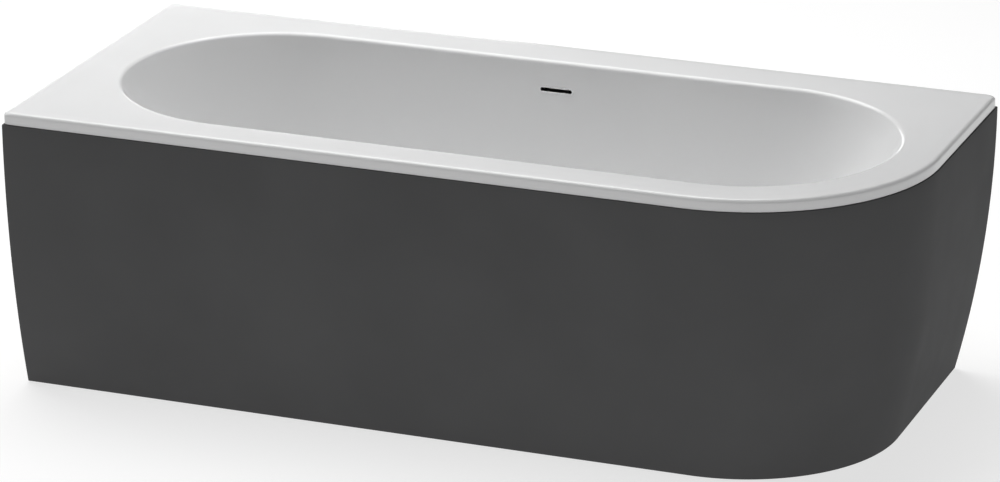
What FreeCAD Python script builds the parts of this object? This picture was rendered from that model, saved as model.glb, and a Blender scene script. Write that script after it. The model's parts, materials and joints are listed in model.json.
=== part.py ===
import FreeCAD, Part
import math
import os
from FreeCAD import Matrix, Vector

# Back-to-wall corner bath with a one-piece skirt.
# The bath's back and left side stand against walls; the front and right side are free, and
# meet in one large rounded corner that the skirt follows. Lengths are in millimetres.
# Frame: origin on the floor at the centre of the footprint, +X to the right along the bath,
# +Y towards the back wall, +Z up.

# ---------------------------------------------------------------- driving dimensions
# rim and shell
bath_length = 1700.0
bath_width = 750.0
rim_height = 560.0
free_corner_radius = 370.0      # plan radius of the free front right corner
wall_corner_radius = 12.0       # plan radius of the three other corners
front_deck = 80.0               # width of the rim's flat deck on each side of the basin
back_deck = 102.0
left_deck = 102.0
right_deck = 82.0
lip_height = 24.0               # turned-down outer edge of the rim
lip_setback = 2.0               # how far the lip stands back from the skirt on the free sides
acrylic = 5.0                   # shell thickness
laminate = 3.0                  # glass-fibre laminate behind the shell
edge_radius = 8.0               # rounding along the rim's outer edge
edge_band = 25.0                # outer band of the deck, which falls away gently
edge_fall = 1.5
edge_band_corner = 22.0         # plan radius of the flat deck's own corners

# basin
basin_depth = 425.0
side_inset = 75.0               # how far each long wall leans in from rim to floor
end_inset = 230.0               # how far each backrest leans in from rim to floor
floor_radius = 100.0            # rounding between the walls and the floor
opening_radius = 10.0           # rounding between the deck and the walls

# boards bonded to the laminate
board_thickness = 15.0
board_length = 880.0
batten_thickness = 18.0
batten_width = 45.0

# skirt panel
panel_thickness = 4.0
panel_setback = 67.5            # how far the skirt's foot stands in from the rim's outer face
panel_foot_flange = 25.0
panel_end_flange = 25.0
panel_upstand_height = 9.5      # tongue that stands up behind the rim's lip
panel_clip_count = 4
panel_clip_thickness = 1.5
floor_clip_count = 4

# legs
rail_offset = 350.0             # from the basin's centre to each cross rail
rail_width = 40.0
rail_height = 25.0
rail_thickness = 2.0
leg_inset = 69.0                # from the basin's edge at the rim to each leg, in plan
leg_rod_radius = 5.0
leg_rod_above_web = 30.0
foot_radius = 28.0
foot_height = 18.0
ball_radius = 7.0
ball_height = 10.5
nut_across_flats = 17.0
nut_height = 8.0

# waste
drain_hole_radius = 24.0
drain_recess_radius = 38.0
flange_radius = 37.0
flange_thickness = 2.5
flange_gasket_thickness = 1.5
lower_gasket_thickness = 3.0
neck_radius = 22.0
neck_wall = 2.5
neck_length = 34.0
cap_radius = 30.0
plug_gap = 1.6                  # from the flange's face to the closed cap
stem_radius = 3.0
cartridge_radius = 7.0
cartridge_length = 26.0
plug_travel = 9.0

# pipes
pipe_radius = 20.0
pipe_wall = 2.5
pipe_bend = 26.0
outlet_spigot = 36.0            # straight end of the outlet elbow
union_radius = 26.0
union_length = 24.0
washer_thickness = 2.0
hose_radius = 15.0
hose_wall = 2.5
hose_bend = 95.0
hose_nut_radius = 19.0
hose_nut_length = 22.0

# overflow
slot_length = 64.0              # clear length of the slot
slot_height = 7.0               # clear height of the slot
slot_below_rim = 55.0
bezel_wall = 1.0
bezel_flange = 2.5
bezel_proud = 1.0
housing_length = 92.0
housing_height = 38.0
housing_depth = 40.0
housing_wall = 3.0
housing_gasket = 2.5

# wall brackets
bracket_width = 50.0
bracket_plate = 2.0
bracket_drop = 52.0
bracket_hole_radius = 3.5
bracket_hole_spacing = 30.0
bracket_spread = 500.0          # from the basin's centre to each back bracket

# fits
fit_gap = 0.3                   # between parts that are pushed together
running_gap = 0.08              # radial, between parts that turn or slide in each other
screw_radius = 2.4
screw_gap = 0.05

# ---------------------------------------------------------------- derived places
left = -bath_length / 2
right = bath_length / 2
front = -bath_width / 2
back = bath_width / 2
lip_bottom = rim_height - lip_height
deck_underside = rim_height - edge_fall - acrylic
laminate_underside = deck_underside - laminate
end_radius = (bath_width - front_deck - back_deck) / 2
half_opening = (bath_length - left_deck - right_deck) / 2
basin_x = (left_deck - right_deck) / 2
basin_y = (front_deck - back_deck) / 2
floor_z = rim_height - basin_depth
side_angle = math.atan2(side_inset, basin_depth)
end_angle = math.atan2(end_inset, basin_depth)
board_top = floor_z - acrylic - laminate
board_bottom = board_top - board_thickness
leg_offset = end_radius - leg_inset  # from the basin's centre line to each leg
flat_floor_half_width = (
    end_radius - side_inset - floor_radius * math.tan(math.pi / 4 - side_angle / 2)
)
board_half_width = flat_floor_half_width - 6.0
gasket_seat = floor_z - flange_gasket_thickness - flange_thickness
drain_pad_bottom = gasket_seat - acrylic
tee_top = drain_pad_bottom - lower_gasket_thickness
pipe_axis_z = board_bottom - union_radius - 2.0
hose_axis_z = board_bottom - hose_nut_radius - 1.5
tee_radius = 27.0
tee_wall = 3.0
tee_flange_radius = 40.0
tee_flange_thickness = 5.0
panel_top = lip_bottom - fit_gap
tongue_front = lip_setback + acrylic + fit_gap
tongue_back = tongue_front + panel_thickness
batten_underside = laminate_underside - batten_thickness
batten_setback = tongue_back + 3 * fit_gap + panel_clip_thickness + 0.3   # from the outer faces
UP = Vector(0, 0, 1)


# ---------------------------------------------------------------- small helpers
def line(a, b):
    return Part.LineSegment(a, b).toShape()


def arc(a, through, b):
    return Part.Arc(a, through, b).toShape()


def cylinder(radius, height, base, axis=UP):
    return Part.makeCylinder(radius, height, base, axis)


def tube(outer, inner, height, base, axis=UP):
    return cylinder(outer, height, base, axis).cut(cylinder(inner, height, base, axis))


def block(x0, x1, y0, y1, z0, z1):
    return Part.makeBox(x1 - x0, y1 - y0, z1 - z0, Vector(x0, y0, z0))


def fused(shapes):
    return shapes[0].multiFuse(shapes[1:]).removeSplitter()


def revolved(points, base=Vector(0, 0, 0)):
    """A solid of revolution about +Z, from (radius, height) points."""
    corners = [Vector(r, 0, z) for r, z in points]
    face = Part.Face(Part.makePolygon(corners + corners[:1]))
    solid = face.revolve(Vector(0, 0, 0), UP, 360)
    solid.translate(base)
    return solid


def hexagon(across_flats, height, base):
    reach = across_flats / 2 / math.cos(math.pi / 6)
    corners = [
        Vector(reach * math.cos(k * math.pi / 3), reach * math.sin(k * math.pi / 3), 0)
        for k in range(7)
    ]
    solid = Part.Face(Part.makePolygon(corners)).extrude(Vector(0, 0, height))
    solid.translate(base)
    return solid


def round_slot(length, height, depth, start):
    """A stadium-shaped prism along local +Z, from height start."""
    r = height / 2
    reach = length / 2 - r
    edges = [
        line(Vector(-reach, -r, start), Vector(reach, -r, start)),
        arc(Vector(reach, -r, start), Vector(reach + r, 0, start), Vector(reach, r, start)),
        line(Vector(reach, r, start), Vector(-reach, r, start)),
        arc(Vector(-reach, r, start), Vector(-reach - r, 0, start), Vector(-reach, -r, start)),
    ]
    return Part.Face(Part.Wire(edges)).extrude(Vector(0, 0, depth))


def spread(first, last, count):
    """Evenly spaced places from first to last."""
    return [first + (last - first) * k / (count - 1) for k in range(count)]


def swept(path, outer, inner):
    """A round pipe along a chain of tangent lines and arcs."""
    wire = Part.Wire(path)
    start = path[0].Vertexes[0].Point
    direction = path[0].tangentAt(path[0].FirstParameter)
    solids = []
    for radius in (outer, inner):
        section = Part.Wire(Part.makeCircle(radius, start, direction))
        solids.append(wire.makePipeShell([section], True, False))
    return solids[0].cut(solids[1])


def filleted(solid, radius, wanted):
    """Rounds the edges that wanted() picks."""
    return solid.makeFillet(radius, [e for e in solid.Edges if wanted(e)])


def lies_at(edge, z):
    return all(abs(v.Z - z) < 1e-4 for v in edge.Vertexes)


# ---------------------------------------------------------------- outlines
def rim_outline(inset, z, small_radius):
    """The rim's plan outline, moved in by inset: three small corners and the free corner."""
    x0, x1 = left + inset, right - lip_setback - inset
    y0, y1 = front + lip_setback + inset, back - inset
    big = free_corner_radius - lip_setback - inset
    small = small_radius
    k_small = small * (1 - math.sqrt(0.5))
    k_big = big * (1 - math.sqrt(0.5))
    return Part.Wire([
        line(Vector(x0 + small, y0, z), Vector(x1 - big, y0, z)),
        arc(Vector(x1 - big, y0, z), Vector(x1 - k_big, y0 + k_big, z), Vector(x1, y0 + big, z)),
        line(Vector(x1, y0 + big, z), Vector(x1, y1 - small, z)),
        arc(Vector(x1, y1 - small, z), Vector(x1 - k_small, y1 - k_small, z), Vector(x1 - small, y1, z)),
        line(Vector(x1 - small, y1, z), Vector(x0 + small, y1, z)),
        arc(Vector(x0 + small, y1, z), Vector(x0 + k_small, y1 - k_small, z), Vector(x0, y1 - small, z)),
        line(Vector(x0, y1 - small, z), Vector(x0, y0 + small, z)),
        arc(Vector(x0, y0 + small, z), Vector(x0 + k_small, y0 + k_small, z), Vector(x0 + small, y0, z)),
    ])


def rim_slab(inset, z0, z1, small_radius):
    return Part.Face(rim_outline(inset, z0, small_radius)).extrude(Vector(0, 0, z1 - z0))


def basin_outline(depth, grow):
    """The basin's stadium outline at a depth below the rim, grown outwards by a wall."""
    share = depth / basin_depth
    radius = end_radius - side_inset * share + grow / math.cos(side_angle)
    reach = half_opening - end_inset * share + grow / math.cos(end_angle) - radius
    z = rim_height - depth
    x0, x1 = basin_x - reach, basin_x + reach
    y0, y1 = basin_y - radius, basin_y + radius
    return Part.Wire([
        line(Vector(x0, y0, z), Vector(x1, y0, z)),
        arc(Vector(x1, y0, z), Vector(x1 + radius, basin_y, z), Vector(x1, y1, z)),
        line(Vector(x1, y1, z), Vector(x0, y1, z)),
        arc(Vector(x0, y1, z), Vector(x0 - radius, basin_y, z), Vector(x0, y0, z)),
    ])


def basin_solid(top_depth, grow):
    """The basin's space, or with grow its space and walls, rounded at the floor."""
    bottom_depth = basin_depth + grow
    solid = Part.makeLoft([basin_outline(top_depth, grow), basin_outline(bottom_depth, grow)], True, True)
    bottom_z = rim_height - bottom_depth
    return filleted(solid, floor_radius + grow, lambda e: lies_at(e, bottom_z))


def behind_slot():
    """Local frame of the overflow: +Z out of the back wall's rear face, +Y up along the wall."""
    s, c = math.sin(side_angle), math.cos(side_angle)
    y = basin_y + end_radius - side_inset * slot_below_rim / basin_depth + c * acrylic
    z = rim_height - slot_below_rim - s * acrylic
    return Matrix(
        -1, 0, 0, basin_x,
        0, s, c, y,
        0, c, -s, z,
        0, 0, 0, 1,
    )


def placed(shape, matrix):
    return shape.transformShape(matrix, True)


# ---------------------------------------------------------------- shell and what is bonded to it
def bath_shell():
    deck = rim_slab(0, lip_bottom, rim_height - edge_fall, wall_corner_radius)
    crown = Part.makeLoft(
        [
            rim_outline(0, rim_height - edge_fall, wall_corner_radius),
            rim_outline(edge_band, rim_height, edge_band_corner),
        ],
        True,
        True,
    )
    deck = deck.fuse(crown)
    deck = filleted(deck, edge_radius, lambda e: lies_at(e, rim_height - edge_fall))
    hollow = rim_slab(acrylic, lip_bottom - 1, deck_underside, wall_corner_radius - acrylic)
    pad = cylinder(
        drain_recess_radius + acrylic,
        floor_z - drain_pad_bottom,
        Vector(basin_x, basin_y, drain_pad_bottom),
    )
    slot = round_slot(
        slot_length + 2 * (bezel_wall + fit_gap),
        slot_height + 2 * (bezel_wall + fit_gap),
        4 * acrylic,
        -3 * acrylic,
    )
    walls = basin_solid(edge_fall, acrylic).cut(placed(slot, behind_slot()))
    shell = deck.cut(hollow).fuse(walls).fuse(pad)
    shell = shell.cut(basin_solid(-edge_radius, 0))
    shell = filleted(
        shell,
        opening_radius,
        lambda e: lies_at(e, rim_height) and is_opening_edge(e),
    )
    shell = shell.cut(cylinder(drain_recess_radius, basin_depth, Vector(basin_x, basin_y, gasket_seat)))
    shell = shell.cut(cylinder(drain_hole_radius, basin_depth, Vector(basin_x, basin_y, drain_pad_bottom)))
    return shell.removeSplitter()


def is_opening_edge(edge):
    """True on the basin's edge in the deck, which lies inside the flat deck's own outline."""
    middle = edge.valueAt((edge.FirstParameter + edge.LastParameter) / 2)
    clear = edge_band + 1.0
    return (
        abs(middle.x - basin_x) <= half_opening + 1.0
        and abs(middle.y - basin_y) <= end_radius + 1.0
        and left + clear < middle.x < right - clear
    )


def laminate_backing():
    sheet = rim_slab(acrylic, laminate_underside, deck_underside, wall_corner_radius - acrylic)
    skin = basin_solid(rim_height - deck_underside, acrylic + laminate)
    backing = sheet.fuse(skin).cut(basin_solid(0, acrylic))
    window = round_slot(
        housing_length + 2 * housing_wall + 14.0,
        housing_height + 2 * housing_wall + 10.0,
        4 * acrylic,
        -acrylic,
    )
    backing = backing.cut(placed(window, behind_slot()))
    opening = cylinder(tee_flange_radius + 8.0, 3 * acrylic, Vector(basin_x, basin_y, board_top - acrylic))
    return backing.cut(opening).removeSplitter()


def base_board():
    x0, x1 = basin_x - board_length / 2, basin_x + board_length / 2
    y0, y1 = basin_y - board_half_width, basin_y + board_half_width
    board = block(x0, x1, y0, y1, board_bottom, board_top)
    board = filleted(board, 20.0, lambda e: abs(e.Vertexes[0].Z - e.Vertexes[-1].Z) > 1)
    board = board.cut(
        cylinder(tee_flange_radius + 8.0, board_thickness, Vector(basin_x, basin_y, board_bottom))
    )
    for place in rail_screw_places():
        board = board.cut(cylinder(screw_radius + screw_gap, 12.0, place))
    return board


def batten(x0, x1, y0, y1):
    bar = block(x0, x1, y0, y1, batten_underside, laminate_underside)
    return filleted(bar, 2.0, lambda e: lies_at(e, batten_underside))


def front_batten():
    y0 = front + batten_setback
    bar = batten(left + 60.0, right - free_corner_radius - 10.0, y0, y0 + batten_width)
    for x in panel_clip_places():
        place = Vector(x, clip_screw_y(), batten_underside)
        bar = bar.cut(cylinder(screw_radius + screw_gap, 12.0, place))
    return bar


def back_batten():
    y1 = back - batten_setback
    return batten(left + 60.0, right - 60.0, y1 - batten_width, y1)


def left_batten():
    x0 = left + batten_setback
    return batten(x0, x0 + batten_width, front + 75.0, back - 75.0)


def right_batten():
    x1 = right - batten_setback
    return batten(x1 - batten_width, x1, front + free_corner_radius + 10.0, back - 75.0)


# ---------------------------------------------------------------- skirt
def skirt_bow_radius():
    """Radius of the skirt's bowed profile: upright at the top, set back at the floor."""
    return (panel_top**2 + panel_setback**2) / (2 * panel_setback)


def skirt_inset(z, offset):
    """How far in from the rim's outer face the skirt lies at height z, offset inwards."""
    bow = skirt_bow_radius()
    return bow - math.sqrt((bow - offset) ** 2 - (panel_top - z) ** 2)


def skirt_arc(offset, z0, z1, at):
    """The bowed profile line between two heights; at(inset, z) gives the point in space."""
    points = [at(skirt_inset(z, offset), z) for z in (z0, (z0 + z1) / 2, z1)]
    return arc(*points)


def skirt_profile(at):
    """Section of the skirt: bowed wall, foot flange, and a shelf under the rim's lip."""
    t = panel_thickness
    foot = panel_setback + panel_foot_flange
    turns = [
        (0, panel_top),
        (tongue_back, panel_top),
        (tongue_back, panel_top - t),
        (skirt_inset(panel_top - t, t), panel_top - t),
    ]
    edges = [skirt_arc(0, 0, panel_top, at)]
    edges += [line(at(*a), at(*b)) for a, b in zip(turns, turns[1:])]
    edges.append(skirt_arc(t, panel_top - t, t, at))
    turns = [(skirt_inset(t, t), t), (foot, t), (foot, 0), (panel_setback, 0)]
    edges += [line(at(*a), at(*b)) for a, b in zip(turns, turns[1:])]
    return Part.Face(Part.Wire(edges))


def skirt_tongue(at):
    """Section of the tongue that stands on the shelf, behind the rim's lip."""
    low, high = panel_top - panel_thickness, panel_top + panel_upstand_height
    corners = [at(tongue_front, low), at(tongue_back, low), at(tongue_back, high), at(tongue_front, high)]
    return Part.Face(Part.makePolygon(corners + corners[:1]))


def skirt_end_flange(at):
    """Stiffening flange across a wall end of the skirt, following the bow."""
    deep = panel_end_flange
    top = panel_top - panel_thickness
    edges = [
        skirt_arc(0, 0, top, at),
        line(at(skirt_inset(top, 0), top), at(skirt_inset(top, deep), top)),
        skirt_arc(deep, top, 0, at),
        line(at(skirt_inset(0, deep), 0), at(skirt_inset(0, 0), 0)),
    ]
    return Part.Face(Part.Wire(edges))


def skirt_panel():
    turn_x, turn_y = right - free_corner_radius, front + free_corner_radius

    def on_left_end(inset, z):
        return Vector(left, front + inset, z)

    def on_turn(inset, z):
        return Vector(turn_x, front + inset, z)

    def on_right_side(inset, z):
        return Vector(right - inset, turn_y, z)

    def on_back_end(inset, z):
        return Vector(right - inset, back, z)

    t = panel_thickness
    clear = panel_end_flange + wall_corner_radius
    wall_ends = block(left, left + clear, front, back, panel_top, rim_height).fuse(
        block(turn_x, right, back - clear, back, panel_top, rim_height)
    )
    return fused([
        skirt_profile(on_left_end).extrude(Vector(turn_x - left, 0, 0)),
        skirt_profile(on_turn).revolve(Vector(turn_x, turn_y, 0), UP, 90),
        skirt_profile(on_right_side).extrude(Vector(0, back - turn_y, 0)),
        skirt_tongue(on_left_end).extrude(Vector(turn_x - left, 0, 0)).cut(wall_ends),
        skirt_tongue(on_turn).revolve(Vector(turn_x, turn_y, 0), UP, 90),
        skirt_tongue(on_right_side).extrude(Vector(0, back - turn_y, 0)).cut(wall_ends),
        skirt_end_flange(on_left_end).extrude(Vector(t, 0, 0)),
        skirt_end_flange(on_back_end).extrude(Vector(0, -t, 0)),
    ])


def panel_clip_places():
    return spread(left + 160.0, right - free_corner_radius - 110.0, panel_clip_count)


def clip_screw_y():
    return front + batten_setback + batten_width * 0.55


def panel_clips():
    """Spring clips under the front batten, which press the skirt's tongue against the lip."""
    thick = panel_clip_thickness
    leg_y = front + tongue_back + fit_gap
    low = batten_underside - thick
    clips = []
    for x in panel_clip_places():
        leg = block(x - 15, x + 15, leg_y, leg_y + thick, low, low + 15.0)
        arm = block(x - 15, x + 15, leg_y, clip_screw_y() + 9.0, low, batten_underside)
        clip = fused([leg, arm])
        hole = cylinder(screw_radius + screw_gap, thick, Vector(x, clip_screw_y(), low))
        clips.append(clip.cut(hole))
    return Part.Compound(clips)


def pan_screw(length, base, axis=UP):
    """A pan-head screw whose shank runs from base along axis, with its head behind base."""
    head_height = 2.4
    shank = cylinder(screw_radius, length, base, axis)
    head_base = base - axis * head_height
    head = cylinder(screw_radius * 1.9, head_height, head_base, axis)
    head = filleted(head, 1.2, lambda e: all((v.Point - head_base).Length < screw_radius * 2 for v in e.Vertexes)
                    and abs((e.CenterOfMass - head_base).dot(axis)) < 0.01)
    recess = block(-2.0, 2.0, -0.45, 0.45, 0, 1.2).fuse(block(-0.45, 0.45, -2.0, 2.0, 0, 1.2))
    turn = FreeCAD.Rotation(UP, axis)
    recess.Placement = FreeCAD.Placement(head_base, turn)
    return shank.fuse(head).removeSplitter().cut(recess)


def clip_screws():
    low = batten_underside - panel_clip_thickness
    return Part.Compound([pan_screw(12.0, Vector(x, clip_screw_y(), low)) for x in panel_clip_places()])


def floor_clip_frames():
    """Where each floor clip stands: (point on the skirt's foot line, inward direction)."""
    frames = [
        (Vector(x, front + panel_setback, 0), Vector(0, 1, 0))
        for x in spread(left + 200.0, right - free_corner_radius - 60.0, floor_clip_count)
    ]
    side_y = (front + free_corner_radius + back) / 2
    frames.append((Vector(right - panel_setback, side_y, 0), Vector(-1, 0, 0)))
    return frames


def floor_clips():
    """Z-shaped steel clips that hold the skirt's foot flange down to the floor."""
    thick, half = 2.0, 17.5
    step_in = panel_foot_flange + fit_gap
    on_flange = panel_thickness + fit_gap
    clips = []
    for place, inward in floor_clip_frames():
        upper = block(panel_foot_flange - 17.0, step_in + thick, -half, half, on_flange, on_flange + thick)
        riser = block(step_in, step_in + thick, -half, half, 0, on_flange + thick)
        foot = block(step_in, step_in + 28.0, -half, half, 0, thick)
        clip = fused([upper, riser, foot])
        clip = clip.cut(cylinder(screw_radius + screw_gap, thick, Vector(panel_foot_flange - 9.0, 0, on_flange)))
        clip = clip.cut(cylinder(3.0, thick, Vector(step_in + 16.0, 0, 0)))
        clips.append(turned_inwards(clip, place, inward))
    return Part.Compound(clips)


def turned_inwards(shape, place, inward):
    """Moves a shape drawn along +X so that it points inwards at place."""
    shape.Placement = FreeCAD.Placement(place, FreeCAD.Rotation(Vector(1, 0, 0), inward))
    return shape


def floor_clip_screws():
    screws = []
    head_seat = panel_thickness + fit_gap + 2.0
    for place, inward in floor_clip_frames():
        screws.append(pan_screw(5.5, place + inward * (panel_foot_flange - 9.0) + UP * head_seat, UP * -1))
    return Part.Compound(screws)


def skirt_with_screw_holes():
    panel = skirt_panel()
    for place, inward in floor_clip_frames():
        spot = place + inward * (panel_foot_flange - 9.0)
        panel = panel.cut(cylinder(screw_radius + screw_gap, panel_thickness, spot))
    return panel


# ---------------------------------------------------------------- legs
def rail_centres():
    return {"left": basin_x - rail_offset, "right": basin_x + rail_offset}


def leg_places():
    """Each leg's name and place in plan."""
    sides = {"front": basin_y - leg_offset, "back": basin_y + leg_offset}
    return {
        f"{side}_{end}": (x, y)
        for side, y in sides.items()
        for end, x in rail_centres().items()
    }


def rail_screw_places():
    reach = board_half_width - 18.0
    return [
        Vector(x + dx, basin_y + dy, board_bottom)
        for x in rail_centres().values()
        for dx in (-9.0, 9.0)
        for dy in (-reach, reach)
    ]


def leg_rail(x):
    """A cross rail: folded steel channel, open downwards, screwed under the base board."""
    half_length = leg_offset + 32.0
    y0, y1 = basin_y - half_length, basin_y + half_length
    w, t = rail_width / 2, rail_thickness
    z0 = board_bottom - rail_height
    outside = block(x - w, x + w, y0, y1, z0, board_bottom)
    outside = filleted(
        outside, 2 * t, lambda e: lies_at(e, board_bottom) and abs(e.Vertexes[0].Y - e.Vertexes[-1].Y) > 1
    )
    inside = block(x - w + t, x + w - t, y0, y1, z0, board_bottom - t)
    inside = filleted(
        inside, t, lambda e: lies_at(e, board_bottom - t) and abs(e.Vertexes[0].Y - e.Vertexes[-1].Y) > 1
    )
    rail = outside.cut(inside)
    for leg_x, leg_y in leg_places().values():
        if leg_x == x:
            rail = rail.cut(cylinder(leg_rod_radius + 0.4, t, Vector(x, leg_y, board_bottom - t)))
    for place in rail_screw_places():
        if abs(place.x - x) < w:
            rail = rail.cut(cylinder(screw_radius + screw_gap, t, place - UP * t))
    return rail


def rail_screws():
    return Part.Compound([pan_screw(12.0, p - UP * rail_thickness) for p in rail_screw_places()])


def leg_rod(x, y):
    """Adjusting rod: plain cylinder over the thread's crests, with a ball at its foot."""
    top = board_bottom + leg_rod_above_web
    rod = cylinder(leg_rod_radius, top - ball_height, Vector(x, y, ball_height))
    rod = filleted(rod, 1.0, lambda e: lies_at(e, top))
    ball = Part.makeSphere(ball_radius, Vector(x, y, ball_height))
    grip = hexagon(11.0, 6.0, Vector(x, y, foot_height + 3.0))
    return fused([rod, ball, grip])


def foot_pad(x, y):
    """Round plastic foot that snaps over the rod's ball and turns on it."""
    neck = leg_rod_radius + 1.2
    pad = revolved(
        [
            (0, 0), (foot_radius - 1.5, 0), (foot_radius, 1.5), (foot_radius, 5.0),
            (foot_radius - 3.0, 7.0), (ball_radius + 6.0, 12.0), (ball_radius + 3.5, foot_height - 1.0),
            (ball_radius + 2.5, foot_height), (0, foot_height),
        ],
        Vector(x, y, 0),
    )
    socket = Part.makeSphere(ball_radius + running_gap, Vector(x, y, ball_height))
    mouth = cylinder(neck, foot_height, Vector(x, y, ball_height))
    return pad.cut(socket).cut(mouth)


def leg_nuts(z):
    """One nut on each leg, with its lower face at z."""
    nuts = []
    for x, y in leg_places().values():
        nut = hexagon(nut_across_flats, nut_height, Vector(x, y, z))
        cone = revolved(
            [(0, -1), (8.2, -1), (8.2, 0), (9.9, 1.0), (9.9, nut_height - 1.0),
             (8.2, nut_height), (8.2, nut_height + 1), (0, nut_height + 1)],
            Vector(x, y, z),
        )
        bore = cylinder(leg_rod_radius + running_gap, nut_height, Vector(x, y, z))
        nuts.append(nut.common(cone).cut(bore))
    return Part.Compound(nuts)


# ---------------------------------------------------------------- waste and plug
def at_drain(z):
    return Vector(basin_x, basin_y, z)


def waste_flange():
    """Chromed flange, its threaded neck, and the spider that carries the click mechanism."""
    top = floor_z
    seat = neck_radius - neck_wall
    ring = revolved(
        [
            (seat, -flange_thickness), (flange_radius, -flange_thickness), (flange_radius, -0.8),
            (flange_radius - 0.8, 0), (seat + 3.0, 0), (seat, -2.0),
        ],
        at_drain(top),
    )
    neck = tube(neck_radius, seat, neck_length, at_drain(top - neck_length))
    hub_z = top - 16.0
    hub = tube(cartridge_radius + 3.0, cartridge_radius + running_gap, 6.0, at_drain(hub_z))
    parts = [ring, neck, hub]
    for k in range(4):
        arm = block(cartridge_radius + 2.0, seat + 1.0, -1.5, 1.5, 0, 5.0)
        arm.Placement = FreeCAD.Placement(at_drain(hub_z + 0.5), FreeCAD.Rotation(UP, 90.0 * k + 45.0))
        parts.append(arm)
    return fused(parts)


def flange_gasket():
    return tube(flange_radius - 1.0, drain_hole_radius, flange_gasket_thickness, at_drain(gasket_seat))


def tee_gasket():
    return tube(tee_flange_radius - 3.0, drain_hole_radius, lower_gasket_thickness, at_drain(tee_top))


def plug_cap():
    low = floor_z + plug_gap
    return revolved(
        [
            (0, 0), (cap_radius - 1.0, 0), (cap_radius, 0.8), (cap_radius, 1.6), (cap_radius - 1.2, 2.6),
            (cap_radius * 0.7, 3.4), (cap_radius * 0.35, 3.9), (0, 4.0),
        ],
        at_drain(low),
    )


def plug_seal():
    return tube(neck_radius + 3.5, stem_radius + 6.0, plug_gap - fit_gap, at_drain(floor_z + fit_gap))


def plug_stem():
    top = floor_z + plug_gap
    boss = cylinder(stem_radius + 2.5, 1.5, at_drain(top - 1.5))
    rod = cylinder(stem_radius, stem_length(), at_drain(top - stem_length()))
    return fused([boss, rod])


def stem_length():
    return cartridge_length - plug_travel / 4


def click_cartridge():
    """Body of the click mechanism: a cup with a bore for the stem and room for the spring."""
    top = floor_z - 8.0
    bottom = top - cartridge_length
    body = revolved(
        [
            (0, 0), (cartridge_radius, 0), (cartridge_radius, cartridge_length - 2.0),
            (cartridge_radius + 2.5, cartridge_length - 2.0), (cartridge_radius + 2.5, cartridge_length),
            (0, cartridge_length),
        ],
        at_drain(bottom),
    )
    room = cylinder(cartridge_radius - 1.5, cartridge_length - 4.0, at_drain(bottom + 2.0))
    bore = cylinder(stem_radius + running_gap, 10.0, at_drain(top - 5.0))
    return body.cut(room).cut(bore)


def click_spring():
    """Compression spring in the cartridge, under the stem."""
    wire, mean = 0.5, 4.0
    foot = floor_z - 8.0 - cartridge_length + 2.0 + wire + fit_gap
    stem_foot = floor_z + plug_gap - stem_length()
    height = stem_foot - foot - wire - fit_gap
    helix = Part.makeHelix(height / 3, height, mean)
    section = Part.Wire(Part.makeCircle(wire, Vector(mean, 0, 0), Vector(0, 1, 0)))
    spring = Part.Wire(helix.Edges).makePipeShell([section], True, True)
    spring.translate(at_drain(foot))
    return spring


def waste_tee():
    """Body under the drain: takes the flange's neck, the overflow hose and the trap."""
    foot = pipe_axis_z - pipe_radius - tee_wall
    height = tee_top - foot
    outer = [
        cylinder(tee_radius, height, at_drain(foot)),
        cylinder(tee_flange_radius, tee_flange_thickness, at_drain(tee_top - tee_flange_thickness)),
        cylinder(pipe_radius, tee_outlet_reach(), trap_axis_point(0), Vector(-1, 0, 0)),
        cylinder(hose_radius, hose_start() - 5.0, hose_axis_point(5.0), Vector(0, 1, 0)),
    ]
    body = fused(outer)
    inside = cylinder(tee_radius - tee_wall, height - tee_wall, at_drain(foot + tee_wall))
    socket_depth = 16.0
    shoulder = tube(
        tee_radius, neck_radius + running_gap, socket_depth, at_drain(tee_top - socket_depth)
    )
    inside = inside.cut(shoulder)
    bores = [
        cylinder(pipe_radius - pipe_wall, 2 * tee_radius + 60.0, trap_axis_point(0), Vector(-1, 0, 0)),
        cylinder(hose_radius - hose_wall, tee_radius + 60.0, hose_axis_point(0), Vector(0, 1, 0)),
    ]
    for cut in [inside] + bores:
        body = body.cut(cut)
    return body


def trap_axis_point(reach):
    """A point on the tee's trap outlet axis, reach to the left of the drain."""
    return Vector(basin_x - reach, basin_y, pipe_axis_z)


def hose_axis_point(reach):
    """A point on the tee's hose inlet axis, reach behind the drain."""
    return Vector(basin_x, basin_y + reach, hose_axis_z)


def hose_start():
    return tee_radius + 24.0


def tee_outlet_reach():
    return tee_radius + 22.0


# ---------------------------------------------------------------- trap and outlet
def in_trap_plane(reach, z):
    return Vector(basin_x - reach, basin_y, z)


def trap_path():
    """Centre line of the trap, from the tee: down, round and up again."""
    r = pipe_bend
    q = r * math.sqrt(0.5)
    z = pipe_axis_z
    start = tee_outlet_reach() + washer_thickness
    a = start + union_length / 2 + 3.0
    b = a + r
    c = b + 2 * r
    d = c + r
    end = d + union_length / 2 + 3.0
    p = in_trap_plane
    path = [
        line(p(start, z), p(a, z)),
        arc(p(a, z), p(a + q, z - r + q), p(b, z - r)),
        arc(p(b, z - r), p(b + r, z - 2 * r), p(c, z - r)),
        arc(p(c, z - r), p(d - q, z - r + q), p(d, z)),
        line(p(d, z), p(end, z)),
    ]
    return path, end


def trap_pipe():
    path, _ = trap_path()
    return swept(path, pipe_radius, pipe_radius - pipe_wall)


def washer(reach):
    return tube(
        pipe_radius, pipe_radius - pipe_wall, washer_thickness, in_trap_plane(reach, pipe_axis_z), Vector(-1, 0, 0)
    )


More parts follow.
